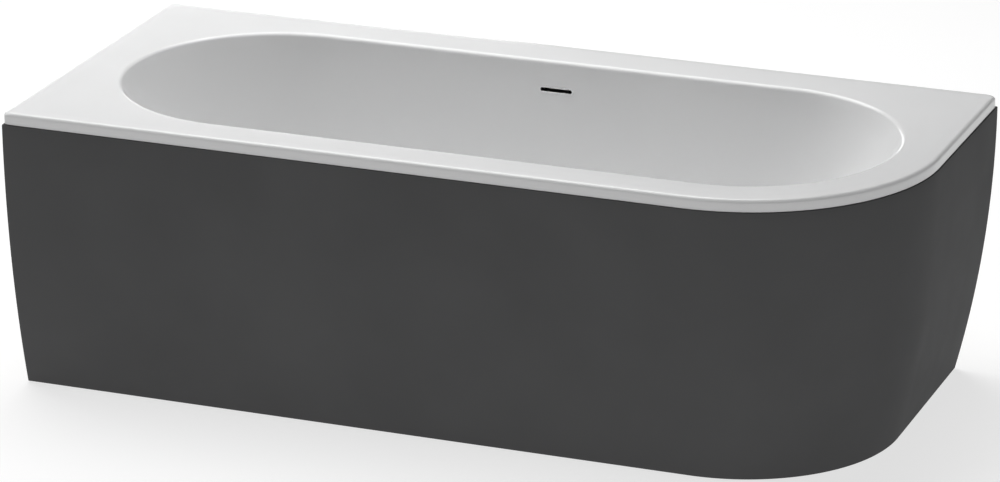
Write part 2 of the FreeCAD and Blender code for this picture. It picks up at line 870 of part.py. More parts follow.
def union_nut(reach):
    """Ribbed union nut centred on the joint at reach along the trap's axis."""
    base = in_trap_plane(reach - union_length / 2, pipe_axis_z)
    axis = Vector(-1, 0, 0)
    nut = cylinder(union_radius - 1.5, union_length, base, axis)
    ribs = []
    for k in range(8):
        angle = 2 * math.pi * k / 8
        rib = block(-2.5, 2.5, union_radius - 4.0, union_radius, 0, union_length - 5.0)
        turn = FreeCAD.Rotation(UP, axis).multiply(FreeCAD.Rotation(UP, math.degrees(angle)))
        rib.Placement = FreeCAD.Placement(base, turn)
        ribs.append(rib)
    nut = fused([nut] + ribs)
    return nut.cut(cylinder(pipe_radius + running_gap, union_length, base, axis))


def outlet_start():
    _, end = trap_path()
    return end + washer_thickness


def outlet_elbow():
    """Outlet elbow, which swivels in its union nut; its free end is the pipe connection."""
    r = pipe_bend + 4.0
    q = r * math.sqrt(0.5)
    a = outlet_start() + fit_gap
    b = a + union_length / 2 + 4.0
    z = pipe_axis_z
    p = in_trap_plane
    turn_end = p(b + r, z) + Vector(0, r, 0)
    path = [
        line(p(a, z), p(b, z)),
        arc(p(b, z), p(b + q, z) + Vector(0, r - q, 0), turn_end),
        line(turn_end, turn_end + Vector(0, outlet_spigot, 0)),
    ]
    return swept(path, pipe_radius, pipe_radius - pipe_wall)


# ---------------------------------------------------------------- overflow
def overflow_bezel():
    """Slot liner: thin flange on the basin side, sleeve through the wall, two screw posts."""
    face = -acrylic
    sleeve_end = housing_gasket + housing_wall
    flange = round_slot(
        slot_length + 2 * (bezel_wall + bezel_flange),
        slot_height + 2 * (bezel_wall + bezel_flange),
        bezel_proud,
        face - bezel_proud,
    )
    sleeve = round_slot(
        slot_length + 2 * bezel_wall,
        slot_height + 2 * bezel_wall,
        sleeve_end - face,
        face,
    )
    opening = round_slot(slot_length, slot_height, 60.0, -30.0)
    frame = flange.fuse(sleeve).cut(opening)
    post_radius = slot_height / 2 + bezel_wall / 2
    posts = [
        cylinder(post_radius, post_end() - 1.0, Vector(u, 0, 1.0)).cut(
            cylinder(screw_radius + screw_gap, 14.0, Vector(u, 0, post_end() - 14.0))
        )
        for u in screw_post_places()
    ]
    return placed(fused([frame] + posts), behind_slot())


def post_end():
    return housing_gasket + housing_depth - housing_wall


def screw_post_places():
    reach = slot_length / 2 - slot_height / 2 - 1.0
    return (-reach, reach)


def overflow_gasket():
    pad = round_slot(housing_length + 10.0, housing_height + 8.0, housing_gasket, 0)
    hole = round_slot(slot_length + 12.0, slot_height + 10.0, housing_gasket, 0)
    return placed(pad.cut(hole), behind_slot())


def overflow_housing():
    """Hollow box behind the slot, with a spigot for the hose at its foot."""
    g = housing_gasket
    flange = round_slot(housing_length + 10.0, housing_height + 8.0, housing_wall, g)
    body = round_slot(housing_length, housing_height, housing_depth, g)
    body = filleted(body, 4.0, lambda e: lies_at(e, g + housing_depth))
    spigot = cylinder(hose_radius, hose_spigot_reach(), Vector(0, 0, hose_depth()), Vector(0, -1, 0))
    shell = fused([flange, body, spigot])
    room = round_slot(
        housing_length - 2 * housing_wall,
        housing_height - 2 * housing_wall,
        housing_depth - housing_wall,
        g,
    )
    bore = cylinder(
        hose_radius - hose_wall, hose_spigot_reach(), Vector(0, 0, hose_depth()), Vector(0, -1, 0)
    )
    shell = shell.cut(room).cut(bore)
    for u in screw_post_places():
        shell = shell.cut(cylinder(screw_radius + screw_gap, housing_depth, Vector(u, 0, g + 5.0)))
    return placed(shell, behind_slot())


def hose_depth():
    return housing_gasket + housing_depth / 2 + 1.5


def hose_spigot_reach():
    return housing_height / 2 + 24.0


def overflow_screws():
    head_seat = housing_gasket + housing_depth
    screws = [pan_screw(14.0, Vector(u, 0, head_seat), UP * -1) for u in screw_post_places()]
    return placed(Part.Compound(screws), behind_slot())


def hose_corner():
    """Where the hose's two straight stretches would meet, with their directions."""
    frame = behind_slot()
    start = frame.multVec(Vector(0, -hose_spigot_reach(), hose_depth()))
    down = Vector(0, -math.sin(side_angle), -math.cos(side_angle))
    end = hose_axis_point(hose_start())
    fall = (start.z - end.z) / math.cos(side_angle)
    return start, down, start + down * fall, end


def overflow_hose():
    """Flexible hose from the overflow to the tee, shown as a plain tube over its ribs."""
    start, down, corner, end = hose_corner()
    inwards = Vector(0, -1, 0)
    half_turn = down.getAngle(inwards) / 2
    tangent = hose_bend * math.tan(half_turn)
    t1, t2 = corner - down * tangent, corner + inwards * tangent
    bisector = (inwards - down).normalize()
    middle = corner + bisector * (hose_bend / math.cos(half_turn) - hose_bend)
    path = [line(start, t1), arc(t1, middle, t2), line(t2, end)]
    return swept(path, hose_radius, hose_radius - hose_wall)


def hose_nut(base, axis):
    start = base - axis * (hose_nut_length / 2)
    nut = cylinder(hose_nut_radius, hose_nut_length, start, axis)
    nut = filleted(nut, 1.5, lambda e: abs(abs((e.CenterOfMass - base).dot(axis)) - hose_nut_length / 2) < 0.01)
    return nut.cut(cylinder(hose_radius + running_gap, hose_nut_length, start, axis))


def upper_hose_nut():
    start, down, _, _ = hose_corner()
    return hose_nut(start, down)


def lower_hose_nut():
    return hose_nut(hose_axis_point(hose_start()), Vector(0, 1, 0))


# ---------------------------------------------------------------- wall brackets
def wall_bracket(place, inward):
    """Folded steel bracket: plate on the wall, a step under the lip, a hook behind it."""
    half, t = bracket_width / 2, bracket_plate
    step_top = lip_bottom - fit_gap
    hook_in = acrylic + fit_gap
    hook_top = laminate_underside - 2.0
    plate = block(0, t, -half, half, lip_bottom - bracket_drop, step_top)
    step = block(0, hook_in + t, -half, half, step_top - t, step_top)
    hook = block(hook_in, hook_in + t, -half, half, step_top - t, hook_top)
    bracket = fused([plate, step, hook])
    for v in (-bracket_hole_spacing / 2, bracket_hole_spacing / 2):
        hole = cylinder(bracket_hole_radius, t, Vector(0, v, bracket_hole_z()), Vector(1, 0, 0))
        bracket = bracket.cut(hole)
    return turned_inwards(bracket, place, inward)


def bracket_hole_z():
    return lip_bottom - bracket_drop + 16.0


# ---------------------------------------------------------------- assembly
def nodes():
    """Every sub-part by node name."""
    _, trap_end = trap_path()
    first_joint = tee_outlet_reach()
    made = {
        "bath_shell": bath_shell(),
        "laminate_backing": laminate_backing(),
        "base_board": base_board(),
        "rim_batten_front": front_batten(),
        "rim_batten_back": back_batten(),
        "rim_batten_left": left_batten(),
        "rim_batten_right": right_batten(),
        "skirt_panel": skirt_with_screw_holes(),
        "panel_clips": panel_clips(),
        "panel_clip_screws": clip_screws(),
        "floor_clips": floor_clips(),
        "floor_clip_screws": floor_clip_screws(),
        "rail_screws": rail_screws(),
        "leg_nuts_upper": leg_nuts(board_bottom),
        "leg_nuts_lower": leg_nuts(board_bottom - rail_thickness - nut_height),
        "waste_flange": waste_flange(),
        "waste_flange_gasket": flange_gasket(),
        "waste_tee_gasket": tee_gasket(),
        "waste_tee": waste_tee(),
        "plug_cap": plug_cap(),
        "plug_seal": plug_seal(),
        "plug_stem": plug_stem(),
        "click_cartridge": click_cartridge(),
        "click_spring": click_spring(),
        "trap_pipe": trap_pipe(),
        "trap_inlet_washer": washer(first_joint),
        "trap_inlet_nut": union_nut(first_joint + washer_thickness / 2),
        "trap_outlet_washer": washer(trap_end),
        "trap_outlet_nut": union_nut(trap_end + washer_thickness / 2),
        "outlet_elbow": outlet_elbow(),
        "overflow_bezel": overflow_bezel(),
        "overflow_gasket": overflow_gasket(),
        "overflow_housing": overflow_housing(),
        "overflow_screws": overflow_screws(),
        "overflow_hose": overflow_hose(),
        "hose_nut_upper": upper_hose_nut(),
        "hose_nut_lower": lower_hose_nut(),
        "wall_bracket_back_left": wall_bracket(Vector(basin_x - bracket_spread, back, 0), Vector(0, -1, 0)),
        "wall_bracket_back_right": wall_bracket(Vector(basin_x + bracket_spread, back, 0), Vector(0, -1, 0)),
        "wall_bracket_left": wall_bracket(Vector(left, basin_y, 0), Vector(1, 0, 0)),
    }
    for end, x in rail_centres().items():
        made[f"leg_rail_{end}"] = leg_rail(x)
    for name, (x, y) in leg_places().items():
        made[f"leg_rod_{name}"] = leg_rod(x, y)
        made[f"foot_pad_{name}"] = foot_pad(x, y)
    return made


os.makedirs("parts", exist_ok=True)
for node, shape in nodes().items():
    shape.exportStep(f"parts/{node}.step")
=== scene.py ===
import json
import math

import bmesh
import bpy
from mathutils import Matrix, Vector
from mathutils.geometry import delaunay_2d_cdt


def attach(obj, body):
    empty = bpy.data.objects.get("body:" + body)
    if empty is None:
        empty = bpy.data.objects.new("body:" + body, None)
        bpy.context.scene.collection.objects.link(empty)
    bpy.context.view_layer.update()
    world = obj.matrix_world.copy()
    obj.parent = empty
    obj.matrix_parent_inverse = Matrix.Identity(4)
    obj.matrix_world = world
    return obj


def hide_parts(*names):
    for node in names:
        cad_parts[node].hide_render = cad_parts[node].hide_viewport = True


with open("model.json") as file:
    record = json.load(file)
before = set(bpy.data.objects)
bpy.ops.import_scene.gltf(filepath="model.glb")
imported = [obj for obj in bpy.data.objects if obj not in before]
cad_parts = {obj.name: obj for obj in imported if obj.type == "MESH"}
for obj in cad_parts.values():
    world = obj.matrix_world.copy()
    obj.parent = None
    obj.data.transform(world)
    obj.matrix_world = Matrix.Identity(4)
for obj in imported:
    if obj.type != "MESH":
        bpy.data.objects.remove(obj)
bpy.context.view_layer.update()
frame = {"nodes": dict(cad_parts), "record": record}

# ------------------------------------------------------------------ sizes, in metres
LEFT, RIGHT, FRONT, BACK = -0.85, 0.85, -0.375, 0.375
RIM = 0.560
LIP_BOTTOM = 0.536
LIP_SETBACK = 0.002
ACRYLIC = 0.005
CORNER = 0.370                  # free corner, at the skirt
SMALL_CORNER = 0.012            # wall corners, at the lip
BAND = 0.025                    # outer band of the deck, which falls away gently
BAND_FALL = 0.0015
BAND_CORNER = 0.022
LIP_ROUND = 0.008               # rounding between lip and deck
BASIN_X, BASIN_Y = 0.010, -0.011
HALF_OPENING, END_RADIUS = 0.758, 0.284
DEPTH = 0.425
SIDE_INSET, END_INSET = 0.075, 0.230
FLOOR_ROUND, MOUTH_ROUND = 0.100, 0.010
SLOT_LENGTH, SLOT_HEIGHT, SLOT_DEPTH = 0.0666, 0.0096, 0.055
RECESS, RECESS_DEPTH, DRAIN_HOLE, PAD = 0.038, 0.004, 0.024, 0.043
SKIRT_TOP = 0.5357
SKIRT_FOOT_SETBACK = 0.0675
SKIRT_WALL = 0.004
HOSE_TOP, HOSE_END = Vector((0.010, 0.28438, 0.45761)), Vector((0.010, 0.040, 0.0915))
HOSE_CREST, HOSE_BEND = 0.015, 0.095
ROD_RADIUS, ROD_TOP, THREAD_FOOT = 0.005, 0.1405, 0.030
LEG_X, LEG_Y = 0.350, 0.215         # from the basin's centre to each leg
UP = Vector((0, 0, 1))
DECK_UNDERSIDE = RIM - BAND_FALL - ACRYLIC
FLOOR_TOP = RIM - DEPTH
LIP_FOOT_ROUND = 0.0012
ARRIS = 0.0008                  # small rounding of the lip's inner edge and the throat's rim
RIB_DEPTH, RIB_PITCH, STEPS_PER_RIB = 0.0016, 0.0052, 6.0
THREAD_PITCH, THREAD_RIB, THREAD_SUNK = 0.0015, 0.00045, 0.00033
SKIRT_EDGE, SKIRT_FOOT_EDGE = 0.0014, 0.0012
SKIRT_FLANGE = 0.025            # width of the skirt's turned foot and of its end flanges
SKIRT_PLAY = 0.0003             # between the skirt's tongue and the lip
TONGUE_HEIGHT, TONGUE_EDGE = 0.0095, 0.001
TONGUE_SHORT = 0.037            # the tongue stops this far from each wall
END_PLAY = 0.0002               # between the skirt's ends and the walls
SLOT_CUT = 0.02                 # the slot's cutter reaches this far each way from the wall's face
WALL_STEPS = 16


# ------------------------------------------------------------------ mesh helpers
def finished(name, bm, material, body="bath", replaces=(), smooth=35):
    """The mesh as a piece that rides on a body, smooth except along its sharp edges."""
    bmesh.ops.remove_doubles(bm, verts=bm.verts, dist=1e-6)
    bmesh.ops.recalc_face_normals(bm, faces=bm.faces)
    mesh = bpy.data.meshes.new(name)
    bm.to_mesh(mesh)
    bm.free()
    return as_piece(name, mesh, material, body, replaces, smooth)


def as_piece(name, mesh, material, body="bath", replaces=(), smooth=35):
    mesh.materials.clear()
    mesh.materials.append(material)
    mesh.shade_smooth()
    mesh.set_sharp_from_angle(angle=math.radians(smooth))
    piece = bpy.data.objects.new(name, mesh)
    bpy.context.collection.objects.link(piece)
    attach(piece, body)
    if replaces:
        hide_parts(*replaces)
    return piece


def modified_mesh(piece):
    """A new mesh with the piece's modifiers applied."""
    depsgraph = bpy.context.evaluated_depsgraph_get()
    return bpy.data.meshes.new_from_object(piece.evaluated_get(depsgraph))


def ring(bm, points):
    return [bm.verts.new(p) for p in points]


def skin(bm, rings):
    """Quads between neighbouring closed rings of equal length."""
    count = len(rings[0])
    for a, b in zip(rings, rings[1:]):
        for i in range(count):
            j = (i + 1) % count
            bm.faces.new((a[i], a[j], b[j], b[i]))


def fill_between(bm, outer, inner):
    """A flat field between two level rings."""
    verts = list(outer) + list(inner)
    n, m = len(outer), len(inner)
    edges = [(i, (i + 1) % n) for i in range(n)] + [(n + i, n + (i + 1) % m) for i in range(m)]
    flat = [Vector((v.co.x, v.co.y)) for v in verts]
    hole = [v.co for v in inner]
    _, _, faces, _, _, _ = delaunay_2d_cdt(flat, edges, [], 1, 1e-7)
    for face in faces:
        centre = sum((flat[i] for i in face), Vector((0, 0))) / len(face)
        if not inside(centre, hole):
            bm.faces.new([verts[i] for i in face])


def inside(p, loop):
    hit = False
    for a, b in zip(loop, loop[1:] + loop[:1]):
        if (a.y > p.y) != (b.y > p.y) and p.x < (b.x - a.x) * (p.y - a.y) / (b.y - a.y) + a.x:
            hit = not hit
    return hit


def along(a, b, count):
    return [a + (b - a) * k / count for k in range(count)]


def bend(centre, radius, start, end, count):
    """Points of an arc in plan, its last point left out."""
    return [
        Vector((centre[0] + radius * math.cos(a), centre[1] + radius * math.sin(a)))
        for a in (math.radians(start + (end - start) * k / count) for k in range(count))
    ]


def rounding(centre, first, last, steps):
    """Points swung round centre from first to last, both ends kept."""
    a, b = first - centre, last - centre
    radius = a.length
    return [centre + a.normalized().slerp(b.normalized(), k / steps) * radius for k in range(steps + 1)]


# ------------------------------------------------------------------ geometry nodes
class Growth:
    """One geometry node tree with a named input for each size, baked into a plain mesh."""
    KINDS = {int: "NodeSocketInt", float: "NodeSocketFloat"}

    def __init__(self, name, **sizes):
        self.tree = bpy.data.node_groups.new(name, "GeometryNodeTree")
        interface = self.tree.interface
        interface.new_socket("Geometry", in_out="INPUT", socket_type="NodeSocketGeometry")
        self.values = {}
        for label, value in sizes.items():
            kind = self.KINDS.get(type(value), "NodeSocketObject")
            socket = interface.new_socket(label.replace("_", " "), in_out="INPUT", socket_type=kind)
            self.values[socket.identifier] = value
        finish = interface.new_socket("Finish", in_out="INPUT", socket_type="NodeSocketMaterial")
        self.finish = finish.identifier
        interface.new_socket("Geometry", in_out="OUTPUT", socket_type="NodeSocketGeometry")
        self.given = self.tree.nodes.new("NodeGroupInput").outputs

    def add(self, kind, *inputs, **settings):
        """A node with (socket, value or output) inputs; returns its first output."""
        node = self.tree.nodes.new(kind)
        for key, value in settings.items():
            setattr(node, key, value)
        for key, value in inputs:
            if isinstance(value, bpy.types.NodeSocket):
                self.tree.links.new(value, node.inputs[key])
            else:
                node.inputs[key].default_value = value
        return node.outputs[0]

    def maths(self, operation, one, other=0.0):
        return self.add("ShaderNodeMath", (0, one), (1, other), operation=operation)

    def bake(self, name, shape, points, edges, material):
        """Grows shape from a seed of points and edges, and returns it as a mesh."""
        smooth = self.add("GeometryNodeSetShadeSmooth", ("Geometry", shape))
        real = self.add("GeometryNodeRealizeInstances", ("Geometry", smooth))
        dressed = self.add("GeometryNodeSetMaterial", ("Geometry", real),
                           ("Material", self.given["Finish"]))
        output = self.tree.nodes.new("NodeGroupOutput")
        self.tree.links.new(dressed, output.inputs["Geometry"])
        seed = bpy.data.meshes.new(name + "_seed")
        seed.from_pydata(points, edges, [])
        host = bpy.data.objects.new(name + "_host", seed)
        bpy.context.collection.objects.link(host)
        grow = host.modifiers.new("grow", "NODES")
        grow.node_group = self.tree
        for identifier, value in self.values.items():
            grow[identifier] = value
        grow[self.finish] = material
        bpy.context.view_layer.update()
        mesh = modified_mesh(host)
        host.modifiers.clear()
        bpy.data.objects.remove(host)
        mesh.name = name
        return mesh


def ribbed_hose(material):
    """Corrugated hose along its route: its radius swells and shrinks once in each rib."""
    lean = (HOSE_TOP.z - HOSE_END.z) * SIDE_INSET / DEPTH
    corner = Vector((HOSE_END.x, HOSE_TOP.y - lean, HOSE_END.z))
    g = Growth("ribbed_hose", Crest_radius=HOSE_CREST, Rib_depth=RIB_DEPTH, Rib_pitch=RIB_PITCH,
               Bend_radius=HOSE_BEND, Bend_steps=24, Sides=28)
    route = g.add("GeometryNodeMeshToCurve", ("Mesh", g.given["Geometry"]))
    route = g.add("GeometryNodeFilletCurve", ("Curve", route), ("Count", g.given["Bend steps"]),
                  ("Radius", g.given["Bend radius"]), mode="POLY")
    step = g.maths("DIVIDE", g.given["Rib pitch"], STEPS_PER_RIB)
    route = g.add("GeometryNodeResampleCurve", ("Curve", route), ("Length", step), mode="LENGTH")
    reach = g.tree.nodes.new("GeometryNodeSplineParameter").outputs["Length"]
    turn = g.maths("MULTIPLY", g.maths("DIVIDE", reach, g.given["Rib pitch"]), 2 * math.pi)
    dip = g.maths("MULTIPLY", g.maths("SUBTRACT", 1.0, g.maths("SINE", turn)), 0.5)
    share = g.maths("DIVIDE", g.given["Rib depth"], g.given["Crest radius"])
    swell = g.maths("SUBTRACT", 1.0, g.maths("MULTIPLY", dip, share))
    route = g.add("GeometryNodeSetCurveRadius", ("Curve", route), ("Radius", swell))
    ring_shape = g.add("GeometryNodeCurvePrimitiveCircle", ("Resolution", g.given["Sides"]),
                       ("Radius", g.given["Crest radius"]))
    tube = g.add("GeometryNodeCurveToMesh", ("Curve", route), ("Profile Curve", ring_shape),
                 ("Fill Caps", True))
    mesh = g.bake("ribbed_hose", tube, [HOSE_TOP, corner, HOSE_END], [(0, 1), (1, 2)], material)
    return as_piece("ribbed_hose", mesh, material, replaces=("overflow_hose",))


def rod_threads(material):
    """Thread on each adjusting rod: a fine rib wound round it."""
    corners = (("front_left", -1, -1), ("front_right", 1, -1),
               ("back_left", -1, 1), ("back_right", 1, 1))
    for name, sx, sy in corners:
        g = Growth("rod_thread", Wound_radius=ROD_RADIUS - THREAD_SUNK, Rib_radius=THREAD_RIB,
                   Pitch=THREAD_PITCH, Height=ROD_TOP - THREAD_FOOT, Steps=18)
        turns = g.maths("DIVIDE", g.given["Height"], g.given["Pitch"])
        helix = g.add("GeometryNodeCurveSpiral", ("Resolution", g.given["Steps"]), ("Rotations", turns),
                      ("Start Radius", g.given["Wound radius"]), ("End Radius", g.given["Wound radius"]),
                      ("Height", g.given["Height"]))
        rib = g.add("GeometryNodeCurvePrimitiveCircle", ("Resolution", 6), ("Radius", g.given["Rib radius"]))
        wound = g.add("GeometryNodeCurveToMesh", ("Curve", helix), ("Profile Curve", rib),
                      ("Fill Caps", True))
        placed = g.add("GeometryNodeInstanceOnPoints", ("Points", g.given["Geometry"]), ("Instance", wound))
        foot = Vector((BASIN_X + sx * LEG_X, BASIN_Y + sy * LEG_Y, THREAD_FOOT))
        mesh = g.bake("rod_thread_" + name, placed, [foot], [], material)
        as_piece("rod_thread_" + name, mesh, material, body="leg_" + name)


def swept_panel(name, section, points, material):
    """Sweeps a closed section, given as inset and height, along a route with one rounded corner."""
    outline = bpy.data.meshes.new(name + "_section")
    count = len(section)
    loop = [(i, (i + 1) % count) for i in range(count)]
    outline.from_pydata([(-inset, -z, 0) for inset, z in section], loop, [])
    shape = bpy.data.objects.new(name + "_section", outline)
    bpy.context.collection.objects.link(shape)
    g = Growth(name, Corner_radius=CORNER, Corner_steps=73, Section=shape)
    route = g.add("GeometryNodeMeshToCurve", ("Mesh", g.given["Geometry"]))
    route = g.add("GeometryNodeFilletCurve", ("Curve", route), ("Count", g.given["Corner steps"]),
                  ("Radius", g.given["Corner radius"]), mode="POLY")
    route = g.add("GeometryNodeSetCurveNormal", ("Curve", route), mode="Z_UP")
    info = g.tree.nodes.new("GeometryNodeObjectInfo")
    g.tree.links.new(g.given["Section"], info.inputs["Object"])
    closed = g.add("GeometryNodeMeshToCurve", ("Mesh", info.outputs["Geometry"]))
    wall = g.add("GeometryNodeCurveToMesh", ("Curve", route), ("Profile Curve", closed),
                 ("Fill Caps", True))
    mesh = g.bake(name, wall, points, [(0, 1), (1, 2)], material)
    bpy.data.objects.remove(shape)
    return mesh


# ------------------------------------------------------------------ outlines
def rim_outline(inset, small):
    """Plan outline of the rim, moved in by inset, from the front left corner rightwards."""
    x0, x1 = LEFT + inset, RIGHT - LIP_SETBACK - inset
    y0, y1 = FRONT + LIP_SETBACK + inset, BACK - inset
    big = CORNER - LIP_SETBACK - inset
    V = Vector
    return (
        along(V((x0 + small, y0)), V((x1 - big, y0)), 48)
        + bend((x1 - big, y0 + big), big, -90, 0, 72)
        + along(V((x1, y0 + big)), V((x1, y1 - small)), 16)
        + bend((x1 - small, y1 - small), small, 0, 90, 14)
        + along(V((x1 - small, y1)), V((x0 + small, y1)), 56)
        + bend((x0 + small, y1 - small), small, 90, 180, 14)
        + along(V((x0, y1 - small)), V((x0, y0 + small)), 28)
        + bend((x0 + small, y0 + small), small, 180, 270, 14)
    )


def rim_ring(inset, z, small=None):
    corner = max(0.002, SMALL_CORNER - inset) if small is None else small
    return [Vector((p.x, p.y, z)) for p in rim_outline(inset, corner)]


def basin_frame(grow):
    """For each place round the basin: its point at the rim and at the floor, and its outward normal."""
    side, end = math.atan2(SIDE_INSET, DEPTH), math.atan2(END_INSET, DEPTH)

    def stadium(share):
        radius = END_RADIUS - SIDE_INSET * share + grow / math.cos(side)
        reach = HALF_OPENING - END_INSET * share + grow / math.cos(end) - radius
        return radius, reach

    places = []
    levels = [(stadium(0.0), RIM), (stadium(1.0), RIM - DEPTH)]
    turns = [(1, -90), (-1, 90)]
    for side_sign, start in turns:
        for k in range(80):
            a = math.radians(start + 180 * k / 80)
            normal = Vector((math.cos(a), math.sin(a), 0))
            places.append([normal, [
                Vector((BASIN_X + side_sign * reach, BASIN_Y, z)) + normal * radius
                for (radius, reach), z in levels
            ]])
        for k in range(48):
            a = math.radians(start + 180)
            normal = Vector((0, side_sign, 0))
            places.append([normal, [
                Vector((BASIN_X + side_sign * reach * (1 - 2 * k / 48), BASIN_Y, z)) + normal * radius
                for (radius, reach), z in levels
            ]])
    return places


def wall_down(normal, top, bottom):
    """The wall's steepest way down at a place, square to its level outline."""
    run = bottom - top
    return (normal * run.dot(normal) + UP * run.z).normalized()


def corner_round(at, one, other, radius, steps):
    """Points that round the corner at a place between two directions leading away from it."""
    half = one.angle(other) / 2
    reach = radius / math.tan(half)
    first, last = at + one * reach, at + other * reach
    centre = at + (one + other).normalized() * (radius / math.sin(half))
    return rounding(centre, first, last, steps)


def basin_rings(grow, mouth_z, floor_z, mouth_round, floor_round):
    """Rings down the basin's wall, from the deck to the flat of its floor."""
    columns = []
    for normal, (top, bottom) in basin_frame(grow):
        down = wall_down(normal, top, bottom)
        run = bottom - top
        mouth = top + run * ((mouth_z - top.z) / run.z)
        foot = top + run * ((floor_z - top.z) / run.z)
        low = corner_round(foot, -down, -normal, floor_round, 20)
        if mouth_round:
            high = corner_round(mouth, normal, down, mouth_round, 10)
        else:
            high = [mouth]
        first_z, last_z = high[-1].z, low[0].z
        heights = (first_z + (last_z - first_z) * k / WALL_STEPS for k in range(1, WALL_STEPS))
        wall = [top + run * ((z - top.z) / run.z) for z in heights]
        columns.append(high + wall + low)
    return [list(row) for row in zip(*columns)]


# ------------------------------------------------------------------ white shell
def lip_profile():
    """(inset, height, corner radius) down the deck's band, round its edge and down the lip."""
    def band(inset):
        out = (BAND - inset) / BAND
        return RIM - BAND_FALL * out ** 1.4
    steps = [(inset, band(inset)) for inset in (BAND, 0.022, 0.019, 0.016, 0.013, 0.0105)]
    edge_z = band(LIP_ROUND)
    for k in range(11):
        a = math.radians(90 * k / 10)
        steps.append((LIP_ROUND * (1 - math.sin(a)), edge_z - LIP_ROUND * (1 - math.cos(a))))
    foot = LIP_FOOT_ROUND
    steps += [(0, 0.545), (0, LIP_BOTTOM + foot)]
    for k in range(1, 5):
        a = math.radians(90 * k / 4)
        steps.append((foot * (1 - math.cos(a)), LIP_BOTTOM + foot * (1 - math.sin(a))))
    steps += [(ACRYLIC - ARRIS, LIP_BOTTOM), (ACRYLIC, LIP_BOTTOM + ARRIS)]
    steps += [(ACRYLIC, DECK_UNDERSIDE)]
    return steps


def drain_profile():
    """(radius, height) from the basin's floor into the drain's recess and out under the floor."""
    seat = FLOOR_TOP - RECESS_DEPTH
    edge = [(RECESS + 0.003, FLOOR_TOP), (RECESS + 0.0015, FLOOR_TOP - 0.0004),
            (RECESS + 0.0004, FLOOR_TOP - 0.0015), (RECESS, FLOOR_TOP - 0.003)]
    return edge + [(RECESS, seat), (DRAIN_HOLE, seat), (DRAIN_HOLE, seat - ACRYLIC),
                   (PAD, seat - ACRYLIC), (PAD, FLOOR_TOP - ACRYLIC)]


def white_shell(material):
    bm = bmesh.new()
    lip = []
    for inset, z in lip_profile():
        share = min(1.0, inset / BAND)
        small = SMALL_CORNER + (BAND_CORNER - SMALL_CORNER) * share if z > 0.55 else None
        lip.append(ring(bm, rim_ring(inset, z, small)))
    skin(bm, lip)
    bowl = [ring(bm, row) for row in basin_rings(0.0, RIM, FLOOR_TOP, MOUTH_ROUND, FLOOR_ROUND)]
    skin(bm, bowl)
    under_floor = FLOOR_TOP - ACRYLIC
    back = [
        ring(bm, row)
        for row in basin_rings(ACRYLIC, DECK_UNDERSIDE, under_floor, 0, FLOOR_ROUND + ACRYLIC)
    ]
    skin(bm, back)
    fill_between(bm, lip[0], bowl[0])
    fill_between(bm, lip[-1], back[0])
    drain = [
        ring(bm, [Vector((BASIN_X + r * math.cos(a), BASIN_Y + r * math.sin(a), z))
                  for a in (2 * math.pi * k / 96 for k in range(96))])
        for r, z in drain_profile()
    ]
    skin(bm, drain)
    fill_between(bm, bowl[-1], drain[0])
    fill_between(bm, back[-1], drain[-1])
    shell = finished("white_shell", bm, material, replaces=("bath_shell",))
    cut_slot(shell)
    return shell


def slot_frame():
    """Frame of the overflow slot: its centre on the wall's face, +Z into the wall."""
    lean = math.atan2(SIDE_INSET, DEPTH)
    y = BASIN_Y + END_RADIUS - SIDE_INSET * SLOT_DEPTH / DEPTH
    turn = Matrix.Rotation(-lean - math.pi / 2, 4, "X")
    return Matrix.Translation((BASIN_X, y, RIM - SLOT_DEPTH)) @ turn


def cut_slot(shell):
    """Cuts the overflow slot through the back wall, with a boolean that is then applied."""
    bm = bmesh.new()
    r, reach = SLOT_HEIGHT / 2, SLOT_LENGTH / 2 - SLOT_HEIGHT / 2
    outline = bend((reach, 0), r, -90, 90, 16) + [Vector((reach, r))]
    outline += bend((-reach, 0), r, 90, 270, 16) + [Vector((-reach, -r))]
    near = ring(bm, [slot_frame() @ Vector((p.x, p.y, -SLOT_CUT)) for p in outline])
    far = ring(bm, [slot_frame() @ Vector((p.x, p.y, SLOT_CUT)) for p in outline])
    skin(bm, [near, far])
    bm.faces.new(near)
    bm.faces.new(far)
    bmesh.ops.recalc_face_normals(bm, faces=bm.faces)
    mesh = bpy.data.meshes.new("slot_cutter")
    bm.to_mesh(mesh)
    bm.free()
    cutter = bpy.data.objects.new("slot_cutter", mesh)
    bpy.context.collection.objects.link(cutter)
    cut = shell.modifiers.new("slot", "BOOLEAN")
    cut.operation = "DIFFERENCE"
    cut.solver = "EXACT"
    cut.object = cutter
    bpy.context.view_layer.update()
    result = modified_mesh(shell)
    shell.modifiers.clear()
    shell.data = result
    bpy.data.objects.remove(cutter)
    bpy.data.meshes.remove(mesh)


def slot_bezel(white, painted_shade):
    """The overflow's liner: white flange on the wall, with painted shade down its throat: a near-black finish
    stands in for the shadow inside the slot.
    """
    bm = bmesh.new()
    bm.from_mesh(frame["nodes"]["overflow_bezel"].data)
    bmesh.ops.remove_doubles(bm, verts=bm.verts, dist=1e-6)
    into_wall = slot_frame().inverted()
    throat = []
    for face in bm.faces:
        at = into_wall @ face.calc_center_median()
        reach = math.hypot(max(0.0, abs(at.x) - (SLOT_LENGTH - SLOT_HEIGHT) / 2), at.y)
        throat.append(reach < SLOT_HEIGHT / 2 - ARRIS)
    mesh = bpy.data.meshes.new("slot_bezel")
    bm.to_mesh(mesh)
    bm.free()
    piece = as_piece("slot_bezel", mesh, white, replaces=("overflow_bezel",))
    # Throat faces take the near-black finish: painted shade, not the liner's own colour.
    mesh.materials.append(painted_shade)
    for face, inner in zip(mesh.polygons, throat):
        face.material_index = int(inner)
    return piece


